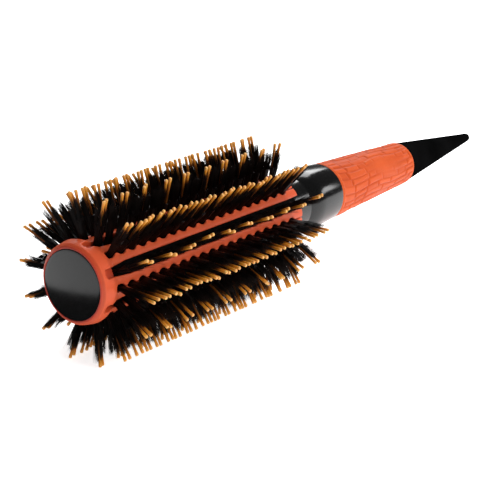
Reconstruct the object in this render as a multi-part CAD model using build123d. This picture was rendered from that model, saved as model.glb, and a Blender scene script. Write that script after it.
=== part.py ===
from build123d import *
import math
import os
import random

# Round barrel brush, millimetres. While modelling, the barrel axis is the X axis: the edge of the nose
# cap is at x = 0 and the tail tip at x = LENGTH. The finished part is then set down on its bristles:
# origin under the middle, +X from nose to tail, +Z up, the two lowest pin rows on z = 0.

LENGTH = 243.5

# Barrel
RIB_RADIUS = 12.1
CORE_RADIUS = 10.3
CORE_BORE = 6.2
CORE_FRONT = 5.8
BARREL_END = 103.3
CORE_WEB = 3.0

# Nose ring and its cap: a short bevel from the lip to the ring's edge, a flare that widens to the
# crest behind it, then a slope down to the ribs
CAP_RADIUS = 11.1
CAP_CROWN = 0.6
CAP_THICKNESS = 1.8
CAP_SKIRT_RADIUS = 9.9
CAP_SKIRT_WALL = 1.2
CAP_SKIRT_END = 4.6
LIP_RADIUS = 11.5
RING_EDGE = (1.1, 12.55)
RING_BEVEL = (0.7, 11.85)
CREST_RADIUS = 13.1
CREST_X = 4.2
CREST_END = 7.0
RING_FLARE = (2.6, 12.9)
RING_SLOPE = (5.8, 12.6)

# Bristle rows: plain and toothed slots take turns round the barrel
ROWS = 14
ROW_PITCH = 360 / ROWS
FIRST_ROW_ANGLE = ROW_PITCH / 2
TUFT_PITCH = 4.92
TUFT_COUNT = 19
FIRST_TUFT_X = 8.4
SLOT_FRONT = 6.9
SLOT_FRONT_HALF = 1.5
SLOT_HALF = 2.1
SLOT_REAR_HALF = 2.35
SLOT_TAPER = 6.0
NOTCH_START = 2.0
NOTCH_HALF = 1.45
NOTCH_FLOOR = 11.3
TOOTH_TIP_HALF = 0.23
TOOTH_VALLEY_HALF = 1.12
TOOTH_FLAT = 1.1

# Tufts: a block of boar hair in a pocket of the core, fanning out above the ribs
POCKET_FLOOR = 7.7
FAN_START = 12.4
BOAR_TIP_RADIUS = 24.2
TUFT_ROOT = (2.6, 1.36)
TUFT_TIP = (4.6, 3.4)
LEAN_ANGLE = -5.4

# Nylon pins, two close together in a tuft
PIN_TIP_RADIUS = 27.35
PIN_RADIUS = 0.45
PIN_HEAD_RADIUS = 0.56
PIN_HEAD_LENGTH = 1.5
PIN_FOOT = 8.1
PIN_OFFSET = 0.55
PIN_SPREAD = 1.5
PIN_JITTER = (0.5, 1.4)
PAIR_JITTER = (1.6, 2.0)
PIN_SEED = 7

# Wire anchors that hold each folded tuft down in its pocket
ANCHOR_SIZE = (2.6, 0.4, 0.35)

# Handle: neck, bell, grip and tail
NECK_START = BARREL_END
NECK_END = 112.8
NECK_RADIUS = 9.6
BELL_END = 132.0
BELL_FRONT_RADIUS = 9.3
BELL_BELLY_X = 119.0
BELL_BELLY_RADIUS = 11.1
BELL_SWELL = (115.1, 10.5)
BELL_EASE = (125.5, 11.0)
BELL_EDGE = 0.4
BELL_RADIUS = 10.6
GRIP_START = 132.4
GRIP_END = 186.3
GRIP_FRONT_RADIUS = 10.6
GRIP_REAR_RADIUS = 8.2
GRIP_WALL = 2.4
TAIL_RADIUS = 7.85
TAIL_TIP_RADIUS = 1.7
TAIL_SOCKET_DEPTH = 24.0
TAIL_PEG_RADIUS = 3.6
SPINE_RADIUS = 6.1
SPINE_FRONT = CORE_FRONT + CORE_WEB
BELL_SEAT_RADIUS = 7.0

# Self-tapping screw that ties the core to the spine, under the nose cap
SCREW_HEAD_RADIUS = 3.4
SCREW_HEAD_HEIGHT = 1.9
SCREW_RADIUS = 1.75
SCREW_LENGTH = 22.0
SCREW_HOLE = 2.0
SCREW_SLOT = 0.9
WASHER_RADIUS = 4.6
WASHER_THICKNESS = 0.8


def turned(*edges):
    """A solid of revolution about the barrel axis from a closed outline of (x, radius) edges."""
    outline = make_face(Curve() + list(edges))
    return revolve(outline, Axis.X, 360).solid()


def lathe(*points):
    """A solid of revolution from straight runs through (x, radius) points."""
    return turned(Polyline(*points, close=True))


def along(x, radius, length):
    """A round bar along the barrel axis that starts at x."""
    return Pos(x + length / 2, 0, 0) * Rot(Y=90) * Cylinder(radius, length)


def is_plain(row):
    return row % 2 == 0


def tuft_x(index):
    return FIRST_TUFT_X + index * TUFT_PITCH


def at_row(row):
    """Turns the row's own frame, with +Z out of the barrel, to the row's place round the barrel."""
    return Rot(X=FIRST_ROW_ANGLE + row * ROW_PITCH)


def plain_slot():
    """Cutter for a straight-sided slot: narrower at its front end and a little wider at its rear end."""
    full = SLOT_FRONT + SLOT_TAPER
    flare = BARREL_END - SLOT_TAPER
    outline = make_face(
        Polyline(
            (SLOT_FRONT, -SLOT_FRONT_HALF),
            (full, -SLOT_HALF),
            (flare, -SLOT_HALF),
            (BARREL_END + 1, -SLOT_REAR_HALF),
            (BARREL_END + 1, SLOT_REAR_HALF),
            (flare, SLOT_HALF),
            (full, SLOT_HALF),
            (SLOT_FRONT, SLOT_FRONT_HALF),
            close=True,
        )
    )
    slot = extrude(Pos(0, 0, CORE_BORE) * outline, CREST_RADIUS)
    notch_length = SLOT_FRONT - NOTCH_START + 1
    notch = Pos(NOTCH_START + notch_length / 2, 0, NOTCH_FLOOR + 1) * Box(notch_length, 2 * NOTCH_HALF, 2)
    return slot + notch


def toothed_side(side):
    """One side of a toothed slot, from front to rear: a round valley at each tuft, blunt teeth between."""
    edges = []
    tip = side * TOOTH_TIP_HALF
    reach = (TUFT_PITCH - TOOTH_FLAT) / 2
    for index in range(TUFT_COUNT):
        x = tuft_x(index)
        edges.append(ThreePointArc((x - reach, tip), (x, side * TOOTH_VALLEY_HALF), (x + reach, tip)))
        if index < TUFT_COUNT - 1:
            edges.append(Line((x + reach, tip), (x + reach + TOOTH_FLAT, tip)))
    return edges


def toothed_slot():
    """Cutter for a slot whose two sides are rows of teeth that nearly meet between the tufts."""
    reach = (TUFT_PITCH - TOOTH_FLAT) / 2
    front = tuft_x(0) - reach
    rear = tuft_x(TUFT_COUNT - 1) + reach
    ends = [
        Line((front, -TOOTH_TIP_HALF), (front, TOOTH_TIP_HALF)),
        Line((rear, TOOTH_TIP_HALF), (BARREL_END + 1, TOOTH_TIP_HALF)),
        Line((BARREL_END + 1, TOOTH_TIP_HALF), (BARREL_END + 1, -TOOTH_TIP_HALF)),
        Line((BARREL_END + 1, -TOOTH_TIP_HALF), (rear, -TOOTH_TIP_HALF)),
    ]
    outline = make_face(Curve() + toothed_side(1) + toothed_side(-1) + ends)
    return extrude(Pos(0, 0, CORE_BORE) * outline, CREST_RADIUS)


def make_barrel_cage():
    """Moulded cage: a flared nose ring that carries fourteen ribs, each plain on one side."""
    crest = (CREST_X, CREST_RADIUS)
    ring = turned(
        Line((0, CAP_RADIUS), (0, LIP_RADIUS)),
        ThreePointArc((0, LIP_RADIUS), RING_BEVEL, RING_EDGE),
        ThreePointArc(RING_EDGE, RING_FLARE, crest),
        ThreePointArc(crest, RING_SLOPE, (CREST_END, RIB_RADIUS)),
        Polyline(
            (CREST_END, RIB_RADIUS),
            (BARREL_END, RIB_RADIUS),
            (BARREL_END, CORE_RADIUS),
            (CORE_FRONT, CORE_RADIUS),
            (CORE_FRONT, CAP_SKIRT_RADIUS),
            (CAP_THICKNESS, CAP_SKIRT_RADIUS),
            (CAP_THICKNESS, CAP_RADIUS),
            (0, CAP_RADIUS),
        ),
    )
    cutters = [at_row(row) * (plain_slot() if is_plain(row) else toothed_slot()) for row in range(ROWS)]
    return ring - cutters


def make_nose_cap():
    """Slightly domed disc with a skirt that snaps into the nose ring."""
    skirt_inside = CAP_SKIRT_RADIUS - CAP_SKIRT_WALL
    return turned(
        ThreePointArc((-CAP_CROWN, 0), (-CAP_CROWN * 0.74, CAP_RADIUS / 2), (0, CAP_RADIUS)),
        Polyline(
            (0, CAP_RADIUS),
            (CAP_THICKNESS, CAP_RADIUS),
            (CAP_THICKNESS, CAP_SKIRT_RADIUS),
            (CAP_SKIRT_END, CAP_SKIRT_RADIUS),
            (CAP_SKIRT_END, skirt_inside),
            (CAP_THICKNESS, skirt_inside),
            (CAP_THICKNESS, 0),
            (-CAP_CROWN, 0),
        ),
    )


def pocket():
    """Cutter for the pocket of one tuft, in the row's own frame, centred on x = 0."""
    height = CORE_RADIUS - POCKET_FLOOR + 1
    return Pos(0, 0, POCKET_FLOOR + height / 2) * Box(*TUFT_ROOT, height)


def make_barrel_core():
    """Thick tube under the ribs, with a web at the nose and a pocket for every tuft."""
    tube = lathe(
        (CORE_FRONT, SCREW_HOLE),
        (CORE_FRONT, CORE_RADIUS),
        (BARREL_END, CORE_RADIUS),
        (BARREL_END, CORE_BORE),
        (SPINE_FRONT, CORE_BORE),
        (SPINE_FRONT, SCREW_HOLE),
    )
    pockets = [
        at_row(row) * Pos(tuft_x(index), 0, 0) * pocket()
        for row in range(ROWS)
        for index in range(TUFT_COUNT)
    ]
    return tube - pockets


def base_pin():
    """One nylon pin along +Z: a plain shank, then a head that flares a little and ends blunt."""
    head = PIN_TIP_RADIUS - PIN_HEAD_LENGTH
    rim = PIN_TIP_RADIUS - PIN_HEAD_RADIUS / 2
    return Rot(Y=-90) * lathe(
        (PIN_FOOT, 0),
        (PIN_FOOT, PIN_RADIUS),
        (head, PIN_RADIUS),
        (rim, PIN_HEAD_RADIUS),
        (PIN_TIP_RADIUS, PIN_HEAD_RADIUS / 2),
        (PIN_TIP_RADIUS, 0),
    )


def pin_places(row, index, dice):
    """Where the two pins of a tuft stand in the row's own frame: the pair leans, and each pin a bit more."""
    if is_plain(row) and index % 2:
        return []
    pair_along = LEAN_ANGLE + dice.uniform(-PAIR_JITTER[0], PAIR_JITTER[0])
    pair_across = dice.uniform(-PAIR_JITTER[1], PAIR_JITTER[1])
    places = []
    for side in (-1, 1):
        along_row = pair_along + side * PIN_SPREAD + dice.uniform(-PIN_JITTER[0], PIN_JITTER[0])
        across = pair_across + dice.uniform(-PIN_JITTER[1], PIN_JITTER[1])
        foot = Pos(tuft_x(index) + side * PIN_OFFSET, 0, CORE_RADIUS)
        places.append(foot * Rot(X=across, Y=along_row) * Pos(0, 0, -CORE_RADIUS))
    return places


def tuft_block(index):
    """Boar hair of one tuft: straight in its pocket and between the ribs, then fanning out."""
    x = tuft_x(index)
    lean = (BOAR_TIP_RADIUS - FAN_START) * math.tan(math.radians(LEAN_ANGLE))
    sections = [
        Pos(x, 0, POCKET_FLOOR + ANCHOR_SIZE[2]) * Rectangle(*TUFT_ROOT),
        Pos(x, 0, FAN_START) * Rectangle(*TUFT_ROOT),
        Pos(x + lean, 0, BOAR_TIP_RADIUS) * Rectangle(*TUFT_TIP),
    ]
    return loft(sections, ruled=True).solid()


def make_bristle_row(row, pin):
    """The boar tufts and the nylon pins of one row, as two groups of separate solids."""
    dice = random.Random(PIN_SEED + row)
    tufts, pins = [], []
    for index in range(TUFT_COUNT):
        standing = [place * pin for place in pin_places(row, index, dice)]
        block = tuft_block(index)
        tufts.append((block - standing).solid() if standing else block)
        pins += standing
    turn = at_row(row)
    return [turn * tuft for tuft in tufts], [turn * one for one in pins]


def make_tuft_anchors():
    """A short flat wire across the floor of every pocket."""
    wire = Pos(0, 0, POCKET_FLOOR + ANCHOR_SIZE[2] / 2) * Box(*ANCHOR_SIZE)
    return [
        at_row(row) * Pos(tuft_x(index), 0, 0) * wire
        for row in range(ROWS)
        for index in range(TUFT_COUNT)
    ]


def make_neck_ferrule():
    """Black collar behind the ribs, with a spigot inside the core's bore."""
    return lathe(
        (NECK_START, SPINE_RADIUS),
        (NECK_START, NECK_RADIUS),
        (NECK_END, NECK_RADIUS),
        (NECK_END, SPINE_RADIUS),
    )


def make_bell_collar():
    """Bell-shaped collar: swells from the neck to a full belly, then eases down to the grip's radius."""
    belly = (BELL_BELLY_X, BELL_BELLY_RADIUS)
    rear = (BELL_END - BELL_EDGE, BELL_RADIUS)
    return turned(
        Line((NECK_END, BELL_SEAT_RADIUS), (NECK_END, BELL_FRONT_RADIUS)),
        ThreePointArc((NECK_END, BELL_FRONT_RADIUS), BELL_SWELL, belly),
        ThreePointArc(belly, BELL_EASE, rear),
        Polyline(
            rear,
            (BELL_END, BELL_RADIUS - BELL_EDGE),
            (BELL_END, BELL_SEAT_RADIUS),
            (NECK_END, BELL_SEAT_RADIUS),
        ),
    )


def make_handle_core():
    """The spine: inside the barrel, through neck and bell, and under the whole grip."""
    solid = lathe(
        (SPINE_FRONT, 0),
        (SPINE_FRONT, SPINE_RADIUS),
        (NECK_END, SPINE_RADIUS),
        (NECK_END, BELL_SEAT_RADIUS),
        (BELL_END, BELL_SEAT_RADIUS),
        (BELL_END, GRIP_FRONT_RADIUS - 1.2),
        (GRIP_START, GRIP_FRONT_RADIUS - 1.2),
        (GRIP_START, GRIP_FRONT_RADIUS - GRIP_WALL),
        (GRIP_END, GRIP_REAR_RADIUS - GRIP_WALL),
        (GRIP_END, 0),
    )
    screw_pilot = along(SPINE_FRONT, SCREW_RADIUS, SCREW_LENGTH - CORE_WEB)
    tail_socket = along(GRIP_END - TAIL_SOCKET_DEPTH, TAIL_PEG_RADIUS, TAIL_SOCKET_DEPTH)
    return solid - screw_pilot - tail_socket


def make_grip_sleeve():
    """Soft sleeve that tapers to the tail, rounded over at both ends."""
    front = GRIP_FRONT_RADIUS - GRIP_WALL
    rear = GRIP_REAR_RADIUS - GRIP_WALL
    return turned(
        Line((GRIP_START, front), (GRIP_START, GRIP_FRONT_RADIUS - 0.4)),
        RadiusArc((GRIP_START, GRIP_FRONT_RADIUS - 0.4), (GRIP_START + 0.4, GRIP_FRONT_RADIUS), 0.4),
        Line((GRIP_START + 0.4, GRIP_FRONT_RADIUS), (GRIP_END - 0.6, GRIP_REAR_RADIUS)),
        RadiusArc((GRIP_END - 0.6, GRIP_REAR_RADIUS), (GRIP_END, GRIP_REAR_RADIUS - 0.6), 0.6),
        Polyline((GRIP_END, GRIP_REAR_RADIUS - 0.6), (GRIP_END, rear), (GRIP_START, front)),
    )


def make_tail_spike():
    """Sectioning tail: a long cone with a round tip, pegged into the end of the handle core."""
    tip_centre = LENGTH - TAIL_TIP_RADIUS
    return turned(
        Line((GRIP_END, TAIL_PEG_RADIUS), (GRIP_END, TAIL_RADIUS - 0.3)),
        Line((GRIP_END, TAIL_RADIUS - 0.3), (GRIP_END + 0.3, TAIL_RADIUS)),
        Line((GRIP_END + 0.3, TAIL_RADIUS), (tip_centre, TAIL_TIP_RADIUS)),
        CenterArc((tip_centre, 0), TAIL_TIP_RADIUS, 0, 90),
        Polyline(
            (LENGTH, 0),
            (GRIP_END - TAIL_SOCKET_DEPTH + 2, 0),
            (GRIP_END - TAIL_SOCKET_DEPTH + 2, TAIL_PEG_RADIUS),
            (GRIP_END, TAIL_PEG_RADIUS),
        ),
    )


def make_washer():
    front = CORE_FRONT - WASHER_THICKNESS
    return along(front, WASHER_RADIUS, WASHER_THICKNESS) - along(front, SCREW_HOLE, WASHER_THICKNESS)


def make_tie_screw():
    """Pan-head screw through the core's web into the spine, with a single driving slot."""
    head_front = CORE_FRONT - WASHER_THICKNESS - SCREW_HEAD_HEIGHT
    head = along(head_front, SCREW_HEAD_RADIUS, SCREW_HEAD_HEIGHT)
    shank = along(head_front + SCREW_HEAD_HEIGHT, SCREW_RADIUS, WASHER_THICKNESS + SCREW_LENGTH)
    slot = Pos(head_front, 0, 0) * Box(SCREW_SLOT * 2, SCREW_SLOT, SCREW_HEAD_RADIUS * 2 + 1)
    return head + shank - slot


def build():
    """Every node of the brush by name, still on the barrel axis."""
    nodes = {
        "barrel_cage": [make_barrel_cage()],
        "nose_cap": [make_nose_cap()],
        "barrel_core": [make_barrel_core()],
        "tuft_anchors": make_tuft_anchors(),
        "core_tie_screw": [make_tie_screw()],
        "screw_washer": [make_washer()],
        "neck_ferrule": [make_neck_ferrule()],
        "bell_collar": [make_bell_collar()],
        "handle_core": [make_handle_core()],
        "grip_sleeve": [make_grip_sleeve()],
        "tail_spike": [make_tail_spike()],
    }
    pin = base_pin()
    for row in range(ROWS):
        tufts, pins = make_bristle_row(row, pin)
        nodes[f"boar_tufts_{row + 1:02d}"] = tufts
        nodes[f"nylon_pins_{row + 1:02d}"] = pins
    return nodes


def main():
    os.makedirs("parts", exist_ok=True)
    nodes = build()
    box = Compound(children=[Compound(children=solids) for solids in nodes.values()]).bounding_box()
    middle = (box.min + box.max) / 2
    set_down = Pos(-middle.X, -middle.Y, -box.min.Z)
    print("nose at", round(-middle.X, 3), "axis at y", round(-middle.Y, 3), "z", round(-box.min.Z, 3))
    for name, solids in nodes.items():
        placed = [set_down * solid for one in solids for solid in one.solids()]
        export_step(placed[0] if len(placed) == 1 else Compound(children=placed), f"parts/{name}.step")


main()
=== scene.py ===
import math
import random

import bmesh
import bpy
import numpy as np
from mathutils import Matrix, Vector


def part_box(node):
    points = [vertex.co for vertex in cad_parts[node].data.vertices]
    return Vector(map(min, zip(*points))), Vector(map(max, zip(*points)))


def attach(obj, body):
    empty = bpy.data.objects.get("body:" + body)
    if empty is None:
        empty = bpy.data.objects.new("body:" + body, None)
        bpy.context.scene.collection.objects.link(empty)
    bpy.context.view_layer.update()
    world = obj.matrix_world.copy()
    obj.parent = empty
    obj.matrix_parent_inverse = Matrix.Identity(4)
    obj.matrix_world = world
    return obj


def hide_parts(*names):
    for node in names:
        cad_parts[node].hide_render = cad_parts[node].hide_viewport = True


# Looks of the round barrel brush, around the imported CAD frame. Shapes are worked out in millimetres on
# the barrel axis, x = 0 at the nose ring's front and x rising towards the tail, and placed() moves them
# to the frame in metres. Angles round the barrel run from +Z towards -Y, as the rows are numbered. The
# driving values below are in millimetres and degrees, up to the camera's.

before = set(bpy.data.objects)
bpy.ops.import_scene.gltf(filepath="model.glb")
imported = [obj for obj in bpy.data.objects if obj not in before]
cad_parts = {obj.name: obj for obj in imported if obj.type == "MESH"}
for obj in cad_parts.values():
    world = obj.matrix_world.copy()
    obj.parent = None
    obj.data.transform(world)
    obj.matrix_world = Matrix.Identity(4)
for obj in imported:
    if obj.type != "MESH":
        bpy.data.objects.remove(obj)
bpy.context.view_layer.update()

MM = 0.001
FULL_TURN = 2 * math.pi
CAGE_LOW, CAGE_HIGH = (Vector(corner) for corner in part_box("barrel_cage"))
NOSE_X = CAGE_LOW.x
AXIS_Y = (CAGE_LOW.y + CAGE_HIGH.y) / 2
AXIS_Z = (CAGE_LOW.z + CAGE_HIGH.z) / 2

# Barrel
ROWS = 14
ROW_PITCH = math.radians(360 / ROWS)
FIRST_ROW = ROW_PITCH / 2
RIB_RADIUS = 12.1
RIB_FOOT = 10.2
CORE_RADIUS = 10.3
RIB_CROWN = 0.07
EDGE_ROUND = 0.36
CAP_RADIUS = 11.1
CAP_DOME = 0.6
CAP_ROUND = 0.35
CAP_GAP = 0.04
CAP_BACK = 1.7
LIP_RADIUS = 11.5
RING_EDGE_X = 1.1
RING_EDGE_RADIUS = 12.55
CREST_X = 4.2
CREST_RADIUS = 13.1
CREST_END = 7.0
BARREL_END = 103.3
TUFT_PITCH = 4.92
TUFT_COUNT = 19
FIRST_TUFT_X = 8.4
TOOTH_TIP_HALF = 0.23
TOOTH_VALLEY_HALF = 1.12
TOOTH_FLAT = 1.1
TOOTHED_LEAD = 0.55
SLOT_FRONT = 6.9
SLOT_FRONT_HALF = 1.5
SLOT_HALF = 2.1
SLOT_REAR_HALF = 2.35
SLOT_TAPER = 6.0
NOTCH_START = 2.0
NOTCH_HALF = 1.45
NOTCH_ROUND = 0.6
NOTCH_FLOOR_RADIUS = 11.0

# Bristles. A pair of values is along the row and across it, but CLUMP_REACH is a lowest and a highest.
LEAN_ANGLE = -5.4
FAN_START = 12.3
BOAR_SEED = 100
BOAR_FOOT_RADIUS = 10.6
BOAR_TIP_RADIUS = 24.1
HAIRS_PER_TUFT = 175
HAIR_WIDTH = 0.21
HAIR_SWAY = 0.14
STRAY_HAIRS = 5
TUFT_FOOT_HALF = (1.25, 0.6)
TUFT_TIP_HALF = (2.0, 1.6)
CLUMPS_PER_TUFT = 6
CLUMP_REACH = (-0.5, 1.5)
HEART_FOOT_HALF = (1.3, 0.6)
HEART_WIDENING = (1.0, 1.1)
HEART_LEVELS = (10.4, 12.4, 15.5, 18.5)
PIN_FOOT_RADIUS = 10.4
PIN_TIP_RADIUS = 27.35
PIN_RADIUS = 0.45
PIN_HEAD_RADIUS = 0.56
PIN_OFFSET = 0.55
PIN_SPREAD = 1.5
PIN_JITTER = (0.5, 1.4)
PAIR_JITTER = (1.6, 2.0)
PIN_SEED = 7
PIN_BEND = 0.35
PIN_BEND_SEED = 500

# Handle
NECK_START = BARREL_END + 0.1
NECK_END = 112.8
NECK_RADIUS = 9.6
NECK_BORE = 6.2
BELL_END = 132.0
BELL_FRONT_RADIUS = 9.3
BELL_BELLY_X = 120.2
BELL_BELLY_RADIUS = 11.1
BELL_RADIUS = 10.6
BELL_FRONT_BORE = 7.2
BELL_REAR_BORE = 8.8
GRIP_START = 132.4
GRIP_END = 186.3
GRIP_FRONT_RADIUS = 10.6
GRIP_REAR_RADIUS = 8.2
GRIP_WALL = 2.2
GRIP_ROLL = 0.45
GRIP_ROLL_LENGTH = 0.7
GRIP_RELIEF = 0.5
GRIP_SMOOTH_END = 0.6
TAIL_START = GRIP_END - 0.4
TAIL_SHOULDER = GRIP_END + 0.5
TAIL_BORE = 4.0
TAIL_RADIUS = 7.85
TAIL_TIP_RADIUS = 1.7
LENGTH = 243.5

# Camera, in degrees and metres: the brush is seen from the nose, a little above
CAMERA_AZIMUTH = -53.6
CAMERA_ELEVATION = 17.0
CAMERA_AIM = Vector((-0.00655, 0.0229, 0.0087))
CAMERA_DISTANCE = 0.56
CAMERA_LENS = 114.8
CAMERA_ROUND_BARREL = -2.6
CAMERA_ROLL = 0.3

# Lights and cards: places and sizes in metres, angles in degrees, powers in Blender's own units
WORLD_GLOW = 0.1
FLOOR_SIZE = (8, 8)
FLOOR_HEIGHT = -0.0002
FLOOR_GLOW = 0.78
FLAG_SIZE = (0.1, 0.3)
FLAG_AHEAD_OF_NOSE = 0.008
FLAG_ASIDE = 0.006
FLAG_HEIGHT = 0.0004
FLAG_TURN = -36.4
SUN_POWER = 1.4
SUN_SPREAD = 60
SUN_FROM = (0.25, -0.3, 1.0)
OVERHEAD_PLACE = (0.52, 0.38, 0.66)
OVERHEAD_SIZE = (0.6, 0.6)
OVERHEAD_POWER = 7.5
SIDE_PLACE = (0.72, -0.52, 0.3)
SIDE_SIZE = (0.3, 0.15)
SIDE_POWER = 0.9
FILL_PLACE = (-0.1, -0.85, 0.45)
FILL_SIZE = (0.7, 0.5)
FILL_POWER = 6.2


# ---------------------------------------------------------------- meshes


def placed(points):
    """Points (x, y, z) in mm on the barrel axis, as an array in metres in the frame."""
    return np.asarray(points, float) * MM + np.array([NOSE_X, AXIS_Y, AXIS_Z])


def around(x, radius, angle):
    """Points at a radius from the axis, at an angle from +Z towards -Y, broadcast together."""
    x, radius, angle = np.broadcast_arrays(x, radius, angle)
    return np.stack([x, -radius * np.sin(angle), radius * np.cos(angle)], axis=-1)


def add(name, data):
    """A new object in the scene from a mesh, light or camera."""
    obj = bpy.data.objects.new(name, data)
    bpy.context.scene.collection.objects.link(obj)
    return obj


def make_object(name, points, faces, smooth=True, merge=0.0):
    """A mesh object from points in mm and faces of equal or mixed length; merge joins near points, in m."""
    mesh = bpy.data.meshes.new(name)
    mesh.from_pydata(placed(points).tolist(), [], [list(map(int, face)) for face in faces])
    mesh.validate()
    if smooth:
        mesh.shade_smooth()
    if merge:
        work = bmesh.new()
        work.from_mesh(mesh)
        bmesh.ops.remove_doubles(work, verts=work.verts, dist=merge)
        bmesh.ops.dissolve_degenerate(work, edges=work.edges, dist=merge)
        work.to_mesh(mesh)
        work.free()
    return add(name, mesh)


def grid_faces(rows, columns, wrap=False, start=0):
    """Quads of a grid of points stored row by row; wrap joins the last column to the first."""
    across = columns if wrap else columns - 1
    row, column = np.meshgrid(np.arange(rows - 1), np.arange(across), indexing="ij")
    here, after = row * columns + column, row * columns + (column + 1) % columns
    return np.stack([here, after, after + columns, here + columns], axis=-1).reshape(-1, 4) + start


def last_ring(start, rows, columns):
    """A face that closes the end of a grid of points: its last row."""
    return [start + (rows - 1) * columns + column for column in range(columns)]


def unit(vector):
    """The same direction at length 1."""
    return vector / np.linalg.norm(vector)


def rounded(before, corner, after, radius, steps=6):
    """Points of an arc that rounds one corner of an outline."""
    before, corner, after = (np.array(point, float) for point in (before, corner, after))
    back, ahead = unit(before - corner), unit(after - corner)
    half = math.acos(max(-1.0, min(1.0, float(back @ ahead)))) / 2
    reach = radius / math.tan(half)
    centre = corner + unit(back + ahead) * radius / math.sin(half)
    first, last = corner + back * reach - centre, corner + ahead * reach - centre
    turn = math.atan2(first[0] * last[1] - first[1] * last[0], float(first @ last))
    arc = []
    for step in range(steps + 1):
        cos, sin = math.cos(turn * step / steps), math.sin(turn * step / steps)
        spoke = (cos * first[0] - sin * first[1], sin * first[0] + cos * first[1])
        arc.append(tuple(centre + np.array(spoke)))
    return arc


def outline(*corners):
    """An open outline of (x, radius) from corners (x, radius) or (x, radius, rounding)."""
    points = [tuple(corners[0][:2])]
    for before, corner, after in zip(corners, corners[1:], corners[2:], strict=False):
        if len(corner) == 3:
            points += rounded(before[:2], corner[:2], after[:2], corner[2])
        else:
            points.append(tuple(corner))
    return points + [tuple(corners[-1][:2])]


def finer(points, step):
    """The same outline with its long runs divided into steps of about that length."""
    divided = [points[0]]
    for start, end in zip(points, points[1:], strict=False):
        count = max(1, int(math.dist(start, end) / step))
        run = np.array(end) - np.array(start)
        divided += [tuple(np.array(start) + run * part / count) for part in range(1, count + 1)]
    return divided


def even_turns(count):
    """Angles that divide a full turn evenly."""
    return np.arange(count) / count * FULL_TURN


def lathe(name, points, segments=128):
    """A turned body from an outline of (x, radius) points, closed where the radius is 0."""
    points = np.array(finer(points, 1.5))
    x, radius = points[:, :1], np.maximum(points[:, 1:], 0.0)
    grid = around(x, radius, even_turns(segments)).reshape(-1, 3)
    faces = grid_faces(len(points), segments, wrap=True)
    return make_object(name, grid, faces, merge=1e-6)


def row_angle(row):
    """The angle of a bristle row, and of the slot that it stands in."""
    return FIRST_ROW + row * ROW_PITCH


def is_plain(row):
    """Whether a row stands in a plain slot; the others stand in toothed slots."""
    return row % 2 == 0


# ---------------------------------------------------------------- barrel


def round_end(x, start, half):
    """Half the width of a slot of even width with a round front end."""
    if x <= start:
        return 0.0
    if x >= start + half:
        return half
    return math.sqrt(half**2 - (start + half - x) ** 2)


def plain_half(x):
    """Half the width of a plain slot: a notch behind the nose ring that widens into the slot."""
    full, flare = SLOT_FRONT + SLOT_TAPER, BARREL_END - SLOT_TAPER
    if x <= SLOT_FRONT:
        share = min(1.0, max(0.0, (x - NOTCH_START) / NOTCH_ROUND))
        return NOTCH_HALF * math.sqrt(share)
    if x <= full:
        return SLOT_FRONT_HALF + (SLOT_HALF - SLOT_FRONT_HALF) * (x - SLOT_FRONT) / SLOT_TAPER
    return SLOT_HALF + (SLOT_REAR_HALF - SLOT_HALF) * max(0.0, (x - flare) / SLOT_TAPER)


def toothed_half(x):
    """Half the width of a toothed slot: round valleys at the tufts, blunt teeth between them."""
    reach = (TUFT_PITCH - TOOTH_FLAT) / 2
    rear = FIRST_TUFT_X + (TUFT_COUNT - 1) * TUFT_PITCH + reach
    if x <= FIRST_TUFT_X:
        return round_end(x, FIRST_TUFT_X - reach - TOOTHED_LEAD, TOOTH_VALLEY_HALF)
    if x >= rear:
        return TOOTH_TIP_HALF
    depth = TOOTH_VALLEY_HALF - TOOTH_TIP_HALF
    bend = (reach**2 + depth**2) / (2 * depth)
    from_tuft = (x - FIRST_TUFT_X + TUFT_PITCH / 2) % TUFT_PITCH - TUFT_PITCH / 2
    if abs(from_tuft) >= reach:
        return TOOTH_TIP_HALF
    return TOOTH_VALLEY_HALF - bend + math.sqrt(bend**2 - from_tuft**2)


def ring_outline():
    """The nose ring from inside the cap's seat, over its edge and the flared crest, down to the ribs.

    Corners that get a rounding stand a little outside the surface that they make.
    """
    seat = CAP_RADIUS + 0.02
    return outline(
        (1.5, seat),
        (0.0, seat, 0.12),
        (0.0, LIP_RADIUS, 0.1),
        (0.62, LIP_RADIUS + 0.32, 0.7),
        (RING_EDGE_X - 0.08, RING_EDGE_RADIUS + 0.03, 0.22),
        (CREST_X, CREST_RADIUS + 0.06, 1.6),
        (CREST_X + 1.6, CREST_RADIUS - 0.5, 1.5),
        (CREST_END, RIB_RADIUS, 2.0),
        (CREST_END + 2.0, RIB_RADIUS),
    )


def cage_stations():
    """(x, radius) of every station along the cage: the nose ring, then even steps along the ribs."""
    steps_per_pitch = 20
    ring = [(x, radius) for x, radius in finer(ring_outline(), 0.3) if x < CREST_END]
    along = np.arange(CREST_END, BARREL_END, TUFT_PITCH / steps_per_pitch)
    return ring + [(float(x), RIB_RADIUS) for x in along] + [(BARREL_END, RIB_RADIUS)]


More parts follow.
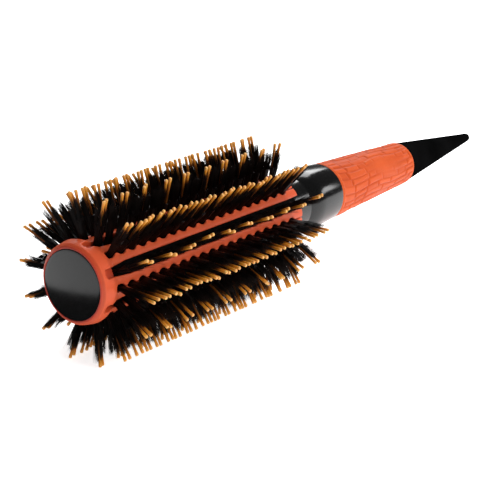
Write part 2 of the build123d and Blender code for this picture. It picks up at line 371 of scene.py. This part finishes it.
def rib_section(x, radius, row, inside_ring):
    """(radius, angle) of the points across one rib at one station, from the slot of its row to the next."""
    here, beyond = (plain_half, toothed_half) if is_plain(row) else (toothed_half, plain_half)
    halves = (0.0, 0.0) if inside_ring else (here(x), beyond(x))
    walls = []
    for half, side in zip(halves, (1, -1), strict=True):
        edge = row_angle(row if side == 1 else row + 1)
        corner = EDGE_ROUND * min(1.0, half / 0.5)
        foot = RIB_FOOT if half > 0 else radius
        wall = [(foot, half), (radius - corner, half)]
        for turn in np.radians([30, 60, 90]):
            wall.append((radius - corner * (1 - math.sin(turn)), half + corner * (1 - math.cos(turn))))
        section = [(reach, edge + side * math.asin(min(1.0, across / reach))) for reach, across in wall]
        walls.append(section if side == 1 else section[::-1])
    start, end = walls[0][-1][1], walls[1][0][1]
    crown = 0.0 if inside_ring else RIB_CROWN
    steps = 7
    top = []
    for step in range(1, steps):
        share = step / steps
        top.append((radius + crown * math.sin(math.pi * share), start + (end - start) * share))
    return walls[0] + top + walls[1]


def notch_floor():
    """The bottom of the blind notches, from inside the ring back to the core."""
    return outline(
        (1.7, 12.4),
        (2.4, NOTCH_FLOOR_RADIUS + 0.3, 0.5),
        (SLOT_FRONT, NOTCH_FLOOR_RADIUS, 0.2),
        (SLOT_FRONT, CORE_RADIUS),
    )


def make_cage():
    """The orange moulding: fourteen ribs that run into the flared nose ring, with rounded edges."""
    stations = cage_stations()
    points, faces = [], []
    notched = (x > NOTCH_START - 0.3 and radius > RING_EDGE_RADIUS for x, radius in stations)
    lip_end = list(notched).index(True)
    for row in range(ROWS):
        start = len(points)
        for index, (x, radius) in enumerate(stations):
            section = rib_section(x, radius, row, index < lip_end)
            points += [tuple(around(x, reach, angle)) for reach, angle in section]
        width = len(section)
        faces += grid_faces(len(stations), width, start=start).tolist()
        faces.append(last_ring(start, len(stations), width))
    segments = 112
    start = len(points)
    for x, radius in notch_floor():
        points += around(x, radius, even_turns(segments)).tolist()
    faces += grid_faces(len(notch_floor()), segments, wrap=True, start=start).tolist()
    return make_object("barrel_cage_body", points, faces, merge=2e-6)


def make_cap():
    """Glossy disc with a slight dome and a rounded edge."""
    edge, side = CAP_RADIUS - CAP_ROUND, CAP_RADIUS - CAP_GAP
    dome = [(-CAP_DOME * (1 - (radius / edge) ** 2), radius) for radius in np.linspace(0, edge, 14)]
    return lathe("nose_cap_disc", dome + outline((0.0, edge), (0.1, side, 0.25), (CAP_BACK, side)))


# ---------------------------------------------------------------- bristles


def tuft_x(index):
    """The place of a tuft's foot along the barrel."""
    return FIRST_TUFT_X + index * TUFT_PITCH


def fan_at(radius):
    """How far a tuft has fanned out at a radius: 0 or less up to the ribs, 1 at its tip."""
    return (radius - FAN_START) / (BOAR_TIP_RADIUS - FAN_START)


def lean_at(radius):
    """How far a bristle that leaves the core at the tufts' common lean has moved along the barrel."""
    return math.tan(math.radians(LEAN_ANGLE)) * (radius - CORE_RADIUS)


def in_row(row, x, across, radius):
    """Points given along the row, across it and outwards, turned to the row's place."""
    angle = row_angle(row)
    x, across, radius = np.broadcast_arrays(x, across, radius)
    y = -radius * math.sin(angle) - across * math.cos(angle)
    z = radius * math.cos(angle) - across * math.sin(angle)
    return np.stack([x, y, z], axis=-1)


def tuft_hairs(dice, index):
    """Centre lines (hairs, 4 points, along/across/out) of the boar hairs of one tuft.

    The tips gather into a few pointed clumps, with loose strays between them.
    """
    count = HAIRS_PER_TUFT
    root = dice.uniform(-1, 1, (count, 2))
    middle = dice.uniform(-0.95, 0.95, (CLUMPS_PER_TUFT, 2))
    clump = np.argmin(np.sum((root[:, None] - middle[None]) ** 2, axis=2), axis=1)
    clump_reach = dice.uniform(*CLUMP_REACH, CLUMPS_PER_TUFT)
    tip = middle[clump] + dice.normal(0, 0.2, (count, 2))
    reach = BOAR_TIP_RADIUS + clump_reach[clump] - np.abs(dice.normal(0, 0.8, count))
    tip[:STRAY_HAIRS] = dice.uniform(-1.5, 1.5, (STRAY_HAIRS, 2))
    reach[:STRAY_HAIRS] = BOAR_TIP_RADIUS + dice.uniform(*CLUMP_REACH, STRAY_HAIRS)
    outwards = -0.7 * 0.3**index + 0.9 * 0.3 ** (TUFT_COUNT - 1 - index)
    lines = np.zeros((count, 4, 3))
    for point, share in enumerate((0.0, 0.12, 0.6, 1.0)):
        out = BOAR_FOOT_RADIUS + (reach - BOAR_FOOT_RADIUS) * share
        fan = np.clip(fan_at(out), 0, 1.1)
        foot_along, foot_across = (root * TUFT_FOOT_HALF * (1 - fan)[:, None]).T
        tip_along, tip_across = ((tip * TUFT_TIP_HALF + (outwards, 0)) * fan[:, None]).T
        lines[:, point, 0] = tuft_x(index) + lean_at(out) + foot_along + tip_along
        lines[:, point, 1] = foot_across + tip_across
        lines[:, point, 2] = out
    lines[:, 2, :2] += dice.normal(0, HAIR_SWAY, (count, 2))
    return lines


def hair_mesh(lines, row):
    """Three-sided tapering hairs along centre lines that lie in the row's own directions."""
    hairs, rings = lines.shape[:2]
    corners = np.radians([90, 210, 330])
    half = HAIR_WIDTH / 2 * np.array([1.0, 1.0, 0.8, 0.25])[:, None]
    along, across, out = (lines[:, :, axis, None] for axis in range(3))
    points = in_row(row, along + half * np.cos(corners), across + half * np.sin(corners), out)
    first = np.arange(hairs) * rings * 3
    quads = (grid_faces(rings, 3, wrap=True) + first[:, None, None]).reshape(-1, 4)
    ends = np.array(last_ring(0, rings, 3)) + first[:, None]
    return points.reshape(-1, 3), quads.tolist() + ends.tolist()


def tuft_heart(dice, index, row):
    """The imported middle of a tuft, a ragged eight-sided block that the loose hairs hide."""
    sides = 8
    angle = even_turns(sides)
    points = []
    for level in HEART_LEVELS:
        half = np.array(HEART_FOOT_HALF) + np.array(HEART_WIDENING) * max(0.0, fan_at(level))
        wobble = 1 + dice.uniform(-0.12, 0.12, sides)
        x = tuft_x(index) + lean_at(level) + np.cos(angle) * half[0] * wobble
        across = np.sin(angle) * half[1] * wobble
        points.append(in_row(row, x, across, level + dice.uniform(-0.3, 0.3, sides)))
    faces = grid_faces(len(HEART_LEVELS), sides, wrap=True).tolist()
    return np.concatenate(points), faces + [last_ring(0, len(HEART_LEVELS), sides)]


def make_boar_row(row):
    """All tufts of boar hair in one row: loose hairs round a denser heart."""
    dice = np.random.default_rng(BOAR_SEED + row)
    points, faces = [], []
    for index in range(TUFT_COUNT):
        hairs = hair_mesh(tuft_hairs(dice, index), row)
        for new_points, new_faces in (hairs, tuft_heart(dice, index, row)):
            faces += [[corner + len(points) for corner in face] for face in new_faces]
            points += new_points.tolist()
    return make_object(f"boar_row_{row + 1:02d}", points, faces, smooth=False)


def pin_lines(row):
    """Foot, lean and bend of every pin of a row, as the CAD row has them, plus a small bend."""
    dice = random.Random(PIN_SEED + row)
    bends = random.Random(PIN_BEND_SEED + row)
    lines = []
    for index in range(TUFT_COUNT):
        if is_plain(row) and index % 2:
            continue
        pair_along = LEAN_ANGLE + dice.uniform(-PAIR_JITTER[0], PAIR_JITTER[0])
        pair_across = dice.uniform(-PAIR_JITTER[1], PAIR_JITTER[1])
        for side in (-1, 1):
            along_row = pair_along + side * PIN_SPREAD + dice.uniform(-PIN_JITTER[0], PIN_JITTER[0])
            across = pair_across + dice.uniform(-PIN_JITTER[1], PIN_JITTER[1])
            bend = (bends.uniform(-PIN_BEND, PIN_BEND), bends.uniform(-PIN_BEND, PIN_BEND))
            foot = tuft_x(index) + side * PIN_OFFSET
            lines.append((foot, math.radians(along_row), math.radians(across), bend))
    return lines


def make_pin_row(row):
    """Nylon pins: round shanks with a slight bend, flaring into blunt rounded heads."""
    sides = 10
    angle = even_turns(sides)
    rings = (
        (PIN_FOOT_RADIUS, PIN_RADIUS),
        (15.0, PIN_RADIUS),
        (19.5, PIN_RADIUS),
        (23.0, PIN_RADIUS),
        (25.3, PIN_RADIUS * 1.02),
        (PIN_TIP_RADIUS - 0.95, PIN_HEAD_RADIUS * 0.95),
        (PIN_TIP_RADIUS - 0.5, PIN_HEAD_RADIUS),
        (PIN_TIP_RADIUS - 0.27, PIN_HEAD_RADIUS * 0.84),
        (PIN_TIP_RADIUS - 0.14, PIN_HEAD_RADIUS * 0.45),
    )
    points, faces = [], []
    for x, along_row, across, bend in pin_lines(row):
        start = len(points)
        for level, radius in rings:
            height = level - CORE_RADIUS
            curve = (height / (PIN_TIP_RADIUS - CORE_RADIUS)) ** 2
            along_x = x + math.tan(along_row) * height + bend[0] * curve
            over = -math.tan(across) * height + bend[1] * curve
            ring = in_row(row, along_x + np.cos(angle) * radius, over + np.sin(angle) * radius, level)
            points += ring.tolist()
        faces += grid_faces(len(rings), sides, wrap=True, start=start).tolist()
        faces.append(last_ring(start, len(rings), sides))
    return make_object(f"pin_row_{row + 1:02d}", points, faces)


# ---------------------------------------------------------------- handle


def make_neck():
    """Short polished cylinder behind the ribs."""
    shape = outline((NECK_START, NECK_BORE), (NECK_START, NECK_RADIUS, 0.4), (NECK_END, NECK_RADIUS))
    return lathe("neck_ring", shape)


def make_bell():
    """Polished collar that swells from its round front to a full belly, then eases to the grip."""
    reach, rise = BELL_BELLY_X - NECK_END, BELL_BELLY_RADIUS - BELL_FRONT_RADIUS
    bend = (reach**2 + rise**2) / (2 * rise)
    swell, ease = [], []
    for x in np.linspace(NECK_END + 0.3, BELL_BELLY_X, 14):
        sag = bend - math.sqrt(bend**2 - (BELL_BELLY_X - x) ** 2)
        swell.append((float(x), BELL_BELLY_RADIUS - sag))
    ease_length = BELL_END - 0.4 - BELL_BELLY_X
    for share in np.linspace(0.1, 1.0, 10):
        drop = (BELL_BELLY_RADIUS - BELL_RADIUS) * share**2
        ease.append((float(BELL_BELLY_X + ease_length * share), float(BELL_BELLY_RADIUS - drop)))
    start = NECK_END - 0.1
    front = outline((start, BELL_FRONT_BORE), (start, BELL_FRONT_RADIUS, 0.2), swell[0])
    rear = outline(ease[-1], (BELL_END, BELL_RADIUS - 0.05, 0.35), (BELL_END, BELL_REAR_BORE))
    return lathe("bell_collar_body", front[:-1] + swell + ease[:-1] + rear, segments=160)


def make_tail():
    """Sectioning tail: a long cone with a small rolled shoulder and a round tip."""
    shape = outline(
        (TAIL_START, TAIL_BORE),
        (TAIL_START, TAIL_RADIUS - 0.5, 0.2),
        (TAIL_SHOULDER, TAIL_RADIUS, 0.5),
        (LENGTH - 0.1, TAIL_TIP_RADIUS - 0.15, 1.5),
        (LENGTH - 0.02, 0.0),
    )
    return lathe("tail_cone", shape, segments=96)


def grip_radius(x):
    """The radius of the tapering grip over its highest blocks."""
    share = (x - GRIP_START) / (GRIP_END - GRIP_START)
    return GRIP_FRONT_RADIUS + (GRIP_REAR_RADIUS - GRIP_FRONT_RADIUS) * share


class Relief:
    """Soft raised blocks that lie along the grip in uneven bands, with a patch worn smooth.

    Block lengths and the patch's place are in mm along the brush, slant in mm per band, and the
    patch's turn and width in radians round the grip.
    """

    SEED = 11
    BANDS = 25
    BLOCK_LENGTH = (5.0, 13.0)
    LIFTS = (0.45, 0.7, 0.85, 1.0)
    SLANT = 0.9
    EDGE = 0.95
    WAVER = 0.22
    WORN_LIFT = 0.75
    WORN_X, WORN_LENGTH = 166, 13
    WORN_TURN, WORN_WIDTH = 0.9, 0.42

    def __init__(self):
        dice = random.Random(self.SEED)
        self.bands = [self.band_blocks(dice) for _ in range(self.BANDS)]

    def band_blocks(self, dice):
        """The blocks of one band: start, end, how far each side is moved, lift and slant."""
        blocks, start = [], GRIP_START - dice.uniform(0.5, 6)
        while start < GRIP_END:
            end = start + dice.uniform(*self.BLOCK_LENGTH)
            sides = (dice.uniform(-0.25, 0.08), dice.uniform(-0.08, 0.25))
            lift, slant = dice.choice(self.LIFTS), dice.uniform(-self.SLANT, self.SLANT)
            blocks.append((start, end, sides, lift, slant))
            start = end
        return blocks

    def worn(self, x, turn):
        """From 0 to 1 in the middle of the patch that is worn smooth."""
        along, across = (x - self.WORN_X) / self.WORN_LENGTH, (turn - self.WORN_TURN) / self.WORN_WIDTH
        return min(1.0, 1.3 * math.exp(-(along**2) - across**2))

    def height(self, x, turn):
        """From 0 between the blocks to 1 on the highest ones."""
        place = turn / FULL_TURN * self.BANDS + self.WAVER * math.sin(0.2 * x + turn)
        arc = FULL_TURN * grip_radius(x) / self.BANDS
        top = 0.0
        for band in range(math.floor(place) - 1, math.floor(place) + 2):
            across = place - band
            for start, end, sides, lift, slant in self.bands[band % self.BANDS]:
                shifted = x + slant * (across - 0.5)
                if start - 1 < shifted < end + 1:
                    beside = min(across - sides[0], 1 + sides[1] - across) * arc
                    inside = min(beside, shifted - start, end - shifted)
                    rise = min(1.0, max(0.0, inside / self.EDGE))
                    top = max(top, lift * rise * rise * (3 - 2 * rise))
        return top + (self.WORN_LIFT - top) * self.worn(x, turn)


def make_grip():
    """Soft sleeve with an uneven block relief, rounded over at both ends."""
    columns, rows = 348, 230
    relief = Relief()
    turns = even_turns(columns)
    # How deep each point lies between the blocks is kept for the rubber's painted shade in the grooves.
    points, groove_shade = [], []
    for x in np.linspace(GRIP_START, GRIP_END, rows):
        from_end = min(x - GRIP_START, GRIP_END - x)
        roll = GRIP_ROLL * (1 - min(1.0, from_end / GRIP_ROLL_LENGTH)) ** 2
        fade = min(1.0, max(0.0, from_end - GRIP_SMOOTH_END))
        for turn in turns:
            rise = relief.height(x, turn)
            radius = grip_radius(x) - roll - GRIP_RELIEF * (1 - rise) * fade
            points.append((x, -radius * math.sin(turn), radius * math.cos(turn)))
            groove_shade.append((1 - rise) * fade)
    faces = grid_faces(rows, columns, wrap=True).tolist()
    for x, outer in ((GRIP_START, 0), (GRIP_END, (rows - 1) * columns)):
        inner = len(points)
        points += around(x, grip_radius(x) - GRIP_WALL, turns).tolist()
        groove_shade += [0.0] * columns
        for column in range(columns):
            after = (column + 1) % columns
            faces.append([outer + column, outer + after, inner + after, inner + column])
    grip = make_object("grip_sleeve_skin", points, faces)
    layer = grip.data.attributes.new("groove_shade", "FLOAT", "POINT")
    layer.data.foreach_set("value", groove_shade)
    return grip


# ---------------------------------------------------------------- materials


class Surface:
    """A node material with one Principled shader, and short ways to wire procedural detail into it."""

    def __init__(self, name):
        self.material = bpy.data.materials.new(name)
        self.material.use_nodes = True
        self.tree = self.material.node_tree
        self.shader = self.tree.nodes["Principled BSDF"]
        self.place = self.node("ShaderNodeTexCoord").outputs["Object"]

    def node(self, kind, **values):
        node = self.tree.nodes.new(kind)
        for key, value in values.items():
            setattr(node, key, value)
        return node

    def link(self, source, target):
        self.tree.links.new(source, target)

    def set(self, **values):
        """Fixed values for the shader's inputs, with _ for each space in an input's name."""
        for key, value in values.items():
            self.shader.inputs[key.replace("_", " ")].default_value = value
        return self

    def noise(self, scale, detail, stretch=None):
        """A noise value from 0 to 1 in the object's own space; stretch multiplies the scale per axis."""
        node = self.node("ShaderNodeTexNoise")
        node.inputs["Scale"].default_value = scale
        node.inputs["Detail"].default_value = detail
        if stretch:
            squeeze = self.node("ShaderNodeMapping")
            squeeze.inputs["Scale"].default_value = stretch
            self.link(self.place, squeeze.inputs["Vector"])
            self.link(squeeze.outputs["Vector"], node.inputs["Vector"])
        else:
            self.link(self.place, node.inputs["Vector"])
        return node.outputs["Fac"]

    def ramp(self, value, *stops):
        """Colour by a value, from (position, colour) stops."""
        node = self.node("ShaderNodeValToRGB")
        elements = node.color_ramp.elements
        while len(elements) < len(stops):
            elements.new(0.5)
        for element, (position, colour) in zip(elements, stops, strict=True):
            element.position = position
            element.color = (*colour, 1)
        self.link(value, node.inputs["Fac"])
        return node.outputs["Color"]

    def span(self, value, low, high, start=0.0, end=1.0):
        """A value mapped from start..end to low..high."""
        node = self.node("ShaderNodeMapRange")
        for key, number in (("From Min", start), ("From Max", end), ("To Min", low), ("To Max", high)):
            node.inputs[key].default_value = number
        self.link(value, node.inputs["Value"])
        return node.outputs["Result"]

    def blend(self, factor, first, second):
        """A mix from the first colour, at factor 0, to the second."""
        node = self.node("ShaderNodeMix", data_type="RGBA")
        self.link(factor, node.inputs["Factor"])
        for source, key in ((first, "A"), (second, "B")):
            target = next(socket for socket in node.inputs if socket.name == key and socket.type == "RGBA")
            if isinstance(source, tuple):
                target.default_value = (*source, 1)
            else:
                self.link(source, target)
        return next(socket for socket in node.outputs if socket.type == "RGBA")

    def colour(self, source):
        self.link(source, self.shader.inputs["Base Color"])

    def roughness(self, source):
        self.link(source, self.shader.inputs["Roughness"])

    def bump(self, height, strength, distance):
        node = self.node("ShaderNodeBump")
        node.inputs["Strength"].default_value = strength
        node.inputs["Distance"].default_value = distance
        self.link(height, node.inputs["Height"])
        self.link(node.outputs["Normal"], self.shader.inputs["Normal"])

    def along(self):
        """Place along the barrel axis in metres."""
        split = self.node("ShaderNodeSeparateXYZ")
        self.link(self.place, split.inputs["Vector"])
        return split.outputs["X"]

    def from_axis(self):
        """Distance from the barrel axis in metres."""
        centre = self.node("ShaderNodeVectorMath", operation="SUBTRACT")
        centre.inputs[1].default_value = (0, AXIS_Y, AXIS_Z)
        self.link(self.place, centre.inputs[0])
        flat = self.node("ShaderNodeVectorMath", operation="MULTIPLY")
        flat.inputs[1].default_value = (0, 1, 1)
        self.link(centre.outputs["Vector"], flat.inputs[0])
        length = self.node("ShaderNodeVectorMath", operation="LENGTH")
        self.link(flat.outputs["Vector"], length.inputs[0])
        return length.outputs["Value"]


def orange_plastic():
    """Moulded orange plastic: slight colour drift, with deep red painted shade low in the slots and on the
    ring's bevel.
    """
    look = Surface("barrel_orange_plastic")
    drift = look.ramp(look.noise(55, 4), (0.3, (0.52, 0.07, 0.022)), (0.7, (0.6, 0.09, 0.029)))
    # Painted shade: the colour darkens to deep red low in the slots, towards the rib feet, where shade
    # falls.
    depth = look.span(look.from_axis(), 1.0, 0.0, RIB_FOOT * MM, 11.8 * MM)
    # Painted shade: deep red over the first 1.1 mm of the nose ring, its front bevel that faces away from
    # the light.
    bevel_shade = look.span(look.along(), 0.8, 0.0, NOSE_X, NOSE_X + RING_EDGE_X * MM)
    look.colour(look.blend(bevel_shade, look.blend(depth, drift, (0.26, 0.01, 0.008)), (0.3, 0.02, 0.01)))
    look.roughness(look.span(look.noise(180, 3), 0.42, 0.55))
    look.bump(look.noise(900, 2), 0.12, 0.0002)
    look.set(Subsurface_Weight=0.05, Subsurface_Scale=0.0008, Specular_IOR_Level=0.35)
    return look.material


def gloss_black():
    """Polished black plastic with faint wiping marks in its gloss."""
    look = Surface("polished_black_plastic")
    look.colour(look.ramp(look.noise(30, 2), (0.3, (0.0015, 0.0015, 0.0016)), (0.7, (0.004, 0.004, 0.0042))))
    look.roughness(look.span(look.noise(140, 4, (1, 3, 1)), 0.12, 0.2))
    look.bump(look.noise(35, 1), 0.04, 0.0003)
    return look.set(Specular_IOR_Level=0.4).material


def satin_black():
    """Satin black plastic with a fine moulded grain."""
    look = Surface("satin_black_plastic")
    look.colour(look.ramp(look.noise(60, 3), (0.3, (0.0015, 0.0015, 0.0015)), (0.7, (0.004, 0.004, 0.0042))))
    look.roughness(look.span(look.noise(400, 3), 0.24, 0.36))
    look.bump(look.noise(2600, 2), 0.2, 0.0001)
    return look.set(Specular_IOR_Level=0.0).material


def grip_rubber():
    """Soft orange rubber, with painted shade that makes it a little darker and redder between the blocks."""
    look = Surface("grip_orange_rubber")
    groove_shade = look.node("ShaderNodeAttribute", attribute_name="groove_shade").outputs["Fac"]
    skin = look.ramp(look.noise(90, 5), (0.3, (0.5, 0.074, 0.018)), (0.7, (0.6, 0.1, 0.026)))
    # Painted shade: the colour darkens towards a deeper red in the grooves between the blocks, where shade
    # falls.
    look.colour(look.blend(look.span(groove_shade, 0.0, 0.6), skin, (0.34, 0.04, 0.009)))
    look.roughness(look.span(look.noise(260, 4), 0.45, 0.62))
    look.bump(look.noise(1500, 3), 0.25, 0.00012)
    look.set(Subsurface_Weight=0.05, Subsurface_Scale=0.0006, Specular_IOR_Level=0.12)
    return look.material


def boar_hair():
    """Near-black bristle, a little browner and paler towards the ends."""
    look = Surface("boar_bristle")
    tips = look.span(look.from_axis(), 0.0, 1.0, 21 * MM, 25.5 * MM)
    base = look.ramp(look.noise(700, 3), (0.3, (0.0008, 0.0006, 0.0006)), (0.7, (0.004, 0.0025, 0.002)))
    look.colour(look.blend(tips, base, (0.012, 0.008, 0.007)))
    look.roughness(look.span(look.noise(900, 2), 0.4, 0.6))
    return look.set(Specular_IOR_Level=0.16).material


def amber_nylon():
    """Amber nylon, honey along the shank, with painted shade that darkens it where it leaves the hair and a
    painted highlight that pales it at the melted head.
    """
    look = Surface("amber_nylon")
    out = look.span(look.from_axis(), 0.0, 1.0, 13 * MM, PIN_TIP_RADIUS * MM)
    # Painted shade and highlight: the ramp darkens the pin low down among the hair and pales its head; the
    # honey stops are its own colour.
    shank = look.ramp(
        out,
        (0.0, (0.03, 0.009, 0.0015)),
        (0.6, (0.07, 0.02, 0.002)),
        (0.77, (0.28, 0.09, 0.007)),
        (0.9, (0.6, 0.235, 0.024)),
        (0.985, (0.7, 0.37, 0.11)),
    )
    look.colour(look.blend(look.span(look.noise(350, 3), 0.0, 0.2), shank, (0.34, 0.1, 0.01)))
    look.roughness(look.span(look.noise(500, 2), 0.32, 0.46))
    look.bump(look.noise(1800, 2), 0.1, 0.0001)
    look.set(Subsurface_Weight=0.2, Subsurface_Scale=0.0006, Specular_IOR_Level=0.25)
    return look.material


def core_black():
    """Matte black moulding under the ribs."""
    look = Surface("matte_black_core")
    look.colour(look.ramp(look.noise(120, 3), (0.3, (0.001, 0.001, 0.001)), (0.7, (0.003, 0.0025, 0.0025))))
    look.roughness(look.span(look.noise(300, 3), 0.55, 0.75))
    look.bump(look.noise(1200, 2), 0.3, 0.0002)
    return look.set(Specular_IOR_Level=0.03).material


def metal(name, low, high, rough):
    """Plain metal with drawn streaks along the brush."""
    look = Surface(name)
    look.colour(look.ramp(look.noise(500, 3, (0.1, 1, 1)), (0.3, low), (0.7, high)))
    look.roughness(look.span(look.noise(900, 3, (0.1, 1, 1)), rough, rough + 0.15))
    return look.set(Metallic=1.0).material


# ---------------------------------------------------------------- assembly


def dress(obj, material, slot, *nodes):
    """Gives a piece its material, its body and the CAD nodes it stands for, which it hides; slot is not
    used.
    """
    obj.data.materials.clear()
    obj.data.materials.append(material)
    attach(obj, "root")
    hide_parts(*nodes)


def paint(node, material):
    """Gives a CAD node that stays visible its finished material."""
    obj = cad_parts[node]
    for slot in obj.material_slots:
        slot.material = material


def build_brush():
    black, satin, boar, amber, dark = gloss_black(), satin_black(), boar_hair(), amber_nylon(), core_black()
    dress(make_cage(), orange_plastic(), "barrel_orange", "barrel_cage")
    dress(make_cap(), black, "gloss_black", "nose_cap")
    for row in range(ROWS):
        dress(make_boar_row(row), boar, "boar_hair", f"boar_tufts_{row + 1:02d}")
        dress(make_pin_row(row), amber, "nylon_amber", f"nylon_pins_{row + 1:02d}")
    dress(make_neck(), black, "gloss_black", "neck_ferrule")
    dress(make_bell(), black, "gloss_black", "bell_collar")
    dress(make_grip(), grip_rubber(), "grip_orange", "grip_sleeve")
    dress(make_tail(), satin, "satin_black", "tail_spike")
    paint("barrel_core", dark)
    paint("handle_core", dark)
    steel = metal("screw_steel", (0.42, 0.43, 0.45), (0.62, 0.63, 0.65), 0.25)
    paint("core_tie_screw", steel)
    paint("screw_washer", steel)
    paint("tuft_anchors", metal("anchor_wire", (0.55, 0.4, 0.18), (0.75, 0.58, 0.3), 0.3))


# ---------------------------------------------------------------- studio


def make_camera():
    """The camera looks at the brush from the nose end, and stands a little further round the barrel."""
    azimuth, elevation = math.radians(CAMERA_AZIMUTH), math.radians(CAMERA_ELEVATION)
    back = Vector(
        (
            math.sin(azimuth) * math.cos(elevation),
            -math.cos(azimuth) * math.cos(elevation),
            math.sin(elevation),
        )
    )
    roll = Matrix.Rotation(math.radians(CAMERA_ROLL), 4, "Z")
    stand = Matrix.Translation(CAMERA_AIM + back * CAMERA_DISTANCE)
    stand = stand @ back.to_track_quat("Z", "Y").to_matrix().to_4x4() @ roll
    axis = Matrix.Translation((0, AXIS_Y, AXIS_Z))
    turn = axis @ Matrix.Rotation(math.radians(CAMERA_ROUND_BARREL), 4, "X") @ axis.inverted()
    camera = add("camera", bpy.data.cameras.new("camera"))
    camera.data.sensor_width = 36.0
    camera.data.lens = CAMERA_LENS
    camera.data.clip_start = 0.01
    camera.matrix_world = turn @ stand
    bpy.context.scene.camera = camera


def plain_card(name, centre, size, colour):
    """A flat rectangle for the floor or a reflection card, in a barely mottled paint."""
    x, y = size[0] / 2, size[1] / 2
    mesh = bpy.data.meshes.new(name)
    mesh.from_pydata([(-x, -y, 0), (x, -y, 0), (x, y, 0), (-x, y, 0)], [], [(0, 1, 2, 3)])
    obj = add(name, mesh)
    obj.location = centre
    look = Surface(name + "_paint")
    look.colour(look.ramp(look.noise(3, 2), (0.3, colour), (0.7, tuple(part * 0.98 for part in colour))))
    look.set(Roughness=0.9, Specular_IOR_Level=0.0)
    mesh.materials.append(look.material)
    return obj


def make_floor():
    """A wide pale floor that glows a little, so that it stays near white under soft light."""
    floor = plain_card("floor", (0, 0, FLOOR_HEIGHT), FLOOR_SIZE, (0.9, 0.9, 0.9))
    shader = floor.data.materials[0].node_tree.nodes["Principled BSDF"]
    shader.inputs["Emission Color"].default_value = (1, 1, 1, 1)
    shader.inputs["Emission Strength"].default_value = FLOOR_GLOW


def make_flag():
    """A dark card on the floor ahead of the nose, seen only in reflections, for the glossy cap."""
    centre = (NOSE_X - FLAG_AHEAD_OF_NOSE, FLAG_ASIDE, FLAG_HEIGHT)
    flag = plain_card("nose_flag", centre, FLAG_SIZE, (0.01, 0.01, 0.01))
    flag.rotation_euler = (0, 0, math.radians(FLAG_TURN))
    for kind in ("camera", "diffuse", "transmission", "volume_scatter", "shadow"):
        setattr(flag, "visible_" + kind, False)


def facing(direction):
    """The rotation that points a light from that direction towards the brush."""
    return Vector(direction).to_track_quat("Z", "Y").to_euler()


def make_sun():
    """Soft light from above that leaves no mirror image."""
    sky = add("sky", bpy.data.lights.new("sky", "SUN"))
    sky.data.energy = SUN_POWER
    sky.data.angle = math.radians(SUN_SPREAD)
    sky.rotation_euler = facing(SUN_FROM)
    sky.visible_glossy = False


def area_light(name, place, size, power):
    """A rectangular light that points at the middle of the brush."""
    light = add(name, bpy.data.lights.new(name, "AREA"))
    light.data.shape = "RECTANGLE"
    light.data.size, light.data.size_y = size
    light.data.energy = power
    light.location = place
    light.rotation_euler = facing(Vector(place) - Vector((0, 0, AXIS_Z)))
    return light


def make_world():
    """An even, faint white glow from all sides."""
    world = bpy.data.worlds.new("studio")
    world.use_nodes = True
    background = world.node_tree.nodes["Background"]
    background.inputs["Color"].default_value = (1, 1, 1, 1)
    background.inputs["Strength"].default_value = WORLD_GLOW
    bpy.context.scene.world = world


def build_studio():
    """Floor, reflection card, lights and background; the fill light leaves no mirror image either."""
    make_floor()
    make_flag()
    make_sun()
    area_light("overhead", OVERHEAD_PLACE, OVERHEAD_SIZE, OVERHEAD_POWER)
    area_light("side", SIDE_PLACE, SIDE_SIZE, SIDE_POWER)
    fill = area_light("fill", FILL_PLACE, FILL_SIZE, FILL_POWER)
    fill.visible_glossy = False
    make_world()
    bpy.context.scene.view_settings.view_transform = "Standard"


make_camera()
build_brush()
build_studio()
